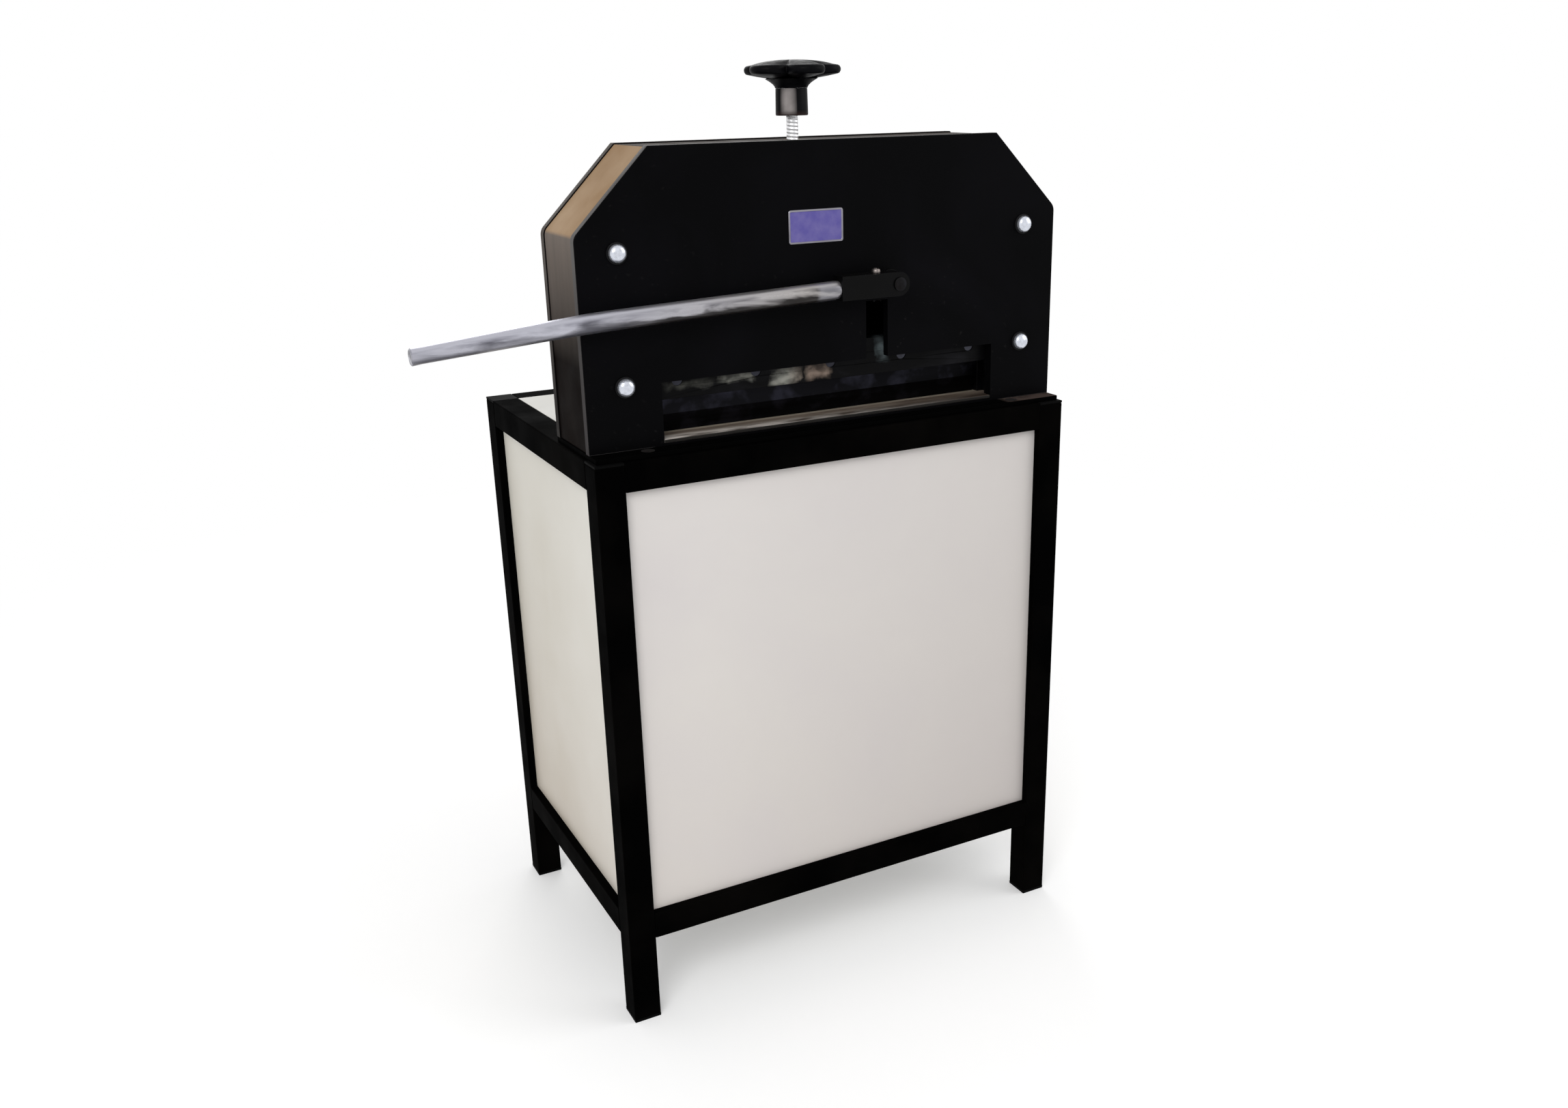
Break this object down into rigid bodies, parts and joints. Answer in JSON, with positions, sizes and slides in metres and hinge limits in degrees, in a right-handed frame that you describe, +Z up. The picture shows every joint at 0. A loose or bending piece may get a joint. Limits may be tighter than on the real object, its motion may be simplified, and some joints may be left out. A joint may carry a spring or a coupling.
{
  "type": "paper cutter",
  "caption": "Hand-lever guillotine paper cutter with a clamp knob, on a panelled square-tube stand.",
  "frame": {"origin": "centre of the stand's footprint, on the floor", "axes": "+Z up, -Y towards the operator at the front, +X to the operator's right"},
  "size_m": [0.8239, 0.449, 1.153],
  "materials": {
    "frame_black": "satin black paint on square tube",
    "panel_cream": "smooth off-white paint, a little uneven",
    "cap_black": "moulded black caps",
    "plate_black": "black paint on thick steel plate, worn to grey on its edges",
    "cover_brown": "dull tan and grey-brown paint on bent sheet",
    "bright_steel": "plain machined steel",
    "knife_steel": "ground steel",
    "nut_chrome": "bright plated domes",
    "rod_steel": "brushed steel bar",
    "cast_black": "black machined castings",
    "bed_tan": "worn bed with a warm tan tone",
    "stick_plastic": "pale cutting stick",
    "bush_bronze": "turned bronze",
    "knob_black": "glossy black moulding",
    "plate_violet": "violet face with a silver rim"
  },
  "bodies": {
    "stand_and_frame": {"leg_front_left": "frame_black", "leg_front_right": "frame_black", "leg_rear_left": "frame_black", "leg_rear_right": "frame_black", "top_rail_front": "frame_black", "top_rail_rear": "frame_black", "top_rail_left": "frame_black", "top_rail_right": "frame_black", "bottom_rail_front": "frame_black", "bottom_rail_rear": "frame_black", "bottom_rail_left": "frame_black", "bottom_rail_right": "frame_black", "cross_rail": "frame_black", "tube_caps": "cap_black", "front_panel": "panel_cream", "rear_panel": "panel_cream", "left_panel": "panel_cream", "right_panel": "panel_cream", "top_panel": "panel_cream", "bottom_shelf": "panel_cream", "base_plate": "plate_black", "hold_down_screws": "bright_steel", "front_plate": "plate_black", "rear_plate": "plate_black", "left_cover": "cover_brown", "right_cover": "cover_brown", "top_cover": "cover_brown", "tie_rods": "bright_steel", "spacer_tubes": "bright_steel", "tie_washers": "bright_steel", "dome_nuts": "nut_chrome", "rear_nuts": "bright_steel", "bed_plate": "bed_tan", "cutting_stick": "stick_plastic", "knife_guides": "bright_steel", "shaft_bushes": "bush_bronze", "screw_nut": "bush_bronze", "head_block": "cast_black", "nameplate": "plate_violet", "rear_table": "bed_tan", "table_bearers": "frame_black"},
    "knife": {"knife_carrier": "bright_steel", "knife_blade": "knife_steel", "knife_bolts": "bright_steel", "knife_rack": "bright_steel"},
    "lever": {"lever_shaft": "bright_steel", "shaft_collar": "bright_steel", "lever_pinion": "bright_steel", "lever_block": "cast_black", "lever_rod": "rod_steel", "rod_set_screw": "nut_chrome"},
    "clamp": {"clamp_bar": "cast_black", "clamp_posts": "bright_steel", "screw_keeper": "bright_steel"},
    "clamp_spindle": {"clamp_screw": "bright_steel", "knob_ferrule": "cast_black", "clamp_knob": "knob_black"},
    "gauge": {"back_gauge": "cast_black", "gauge_bolt": "bright_steel"},
    "gauge_lock": {"gauge_knob": "knob_black"}
  },
  "joints": [
    {"name": "lever_swing", "type": "hinge", "parent": "stand_and_frame", "child": "lever", "pos_m": [0.068, -0.2, 0.902], "axis": [0, 1, 0], "range_deg": [0, 95]},
    {"name": "knife_slide", "type": "slide", "parent": "stand_and_frame", "child": "knife", "axis": [0, 0, 1], "range_m": [0, 0.04]},
    {"name": "clamp_turn", "type": "hinge", "parent": "clamp", "child": "clamp_spindle", "pos_m": [-0.019, -0.128, 1], "axis": [0, 0, 1], "range_deg": [0, 3600]},
    {"name": "clamp_slide", "type": "slide", "parent": "stand_and_frame", "child": "clamp", "axis": [0, 0, 1], "range_m": [0, 0.04]},
    {"name": "gauge_slide", "type": "slide", "parent": "stand_and_frame", "child": "gauge", "axis": [0, 1, 0], "range_m": [-0.075, 0.075]},
    {"name": "gauge_knob_turn", "type": "hinge", "parent": "gauge", "child": "gauge_lock", "pos_m": [0, 0.1085, 0.76], "axis": [0, 0, 1], "range_deg": [0, 180]}
  ],
  "couplings": [
    {"joint": "knife_slide", "follows": "lever_swing", "m_per_rad": 0.024},
    {"joint": "clamp_turn", "follows": "clamp_slide", "rad_per_m": 1570.8}
  ]
}
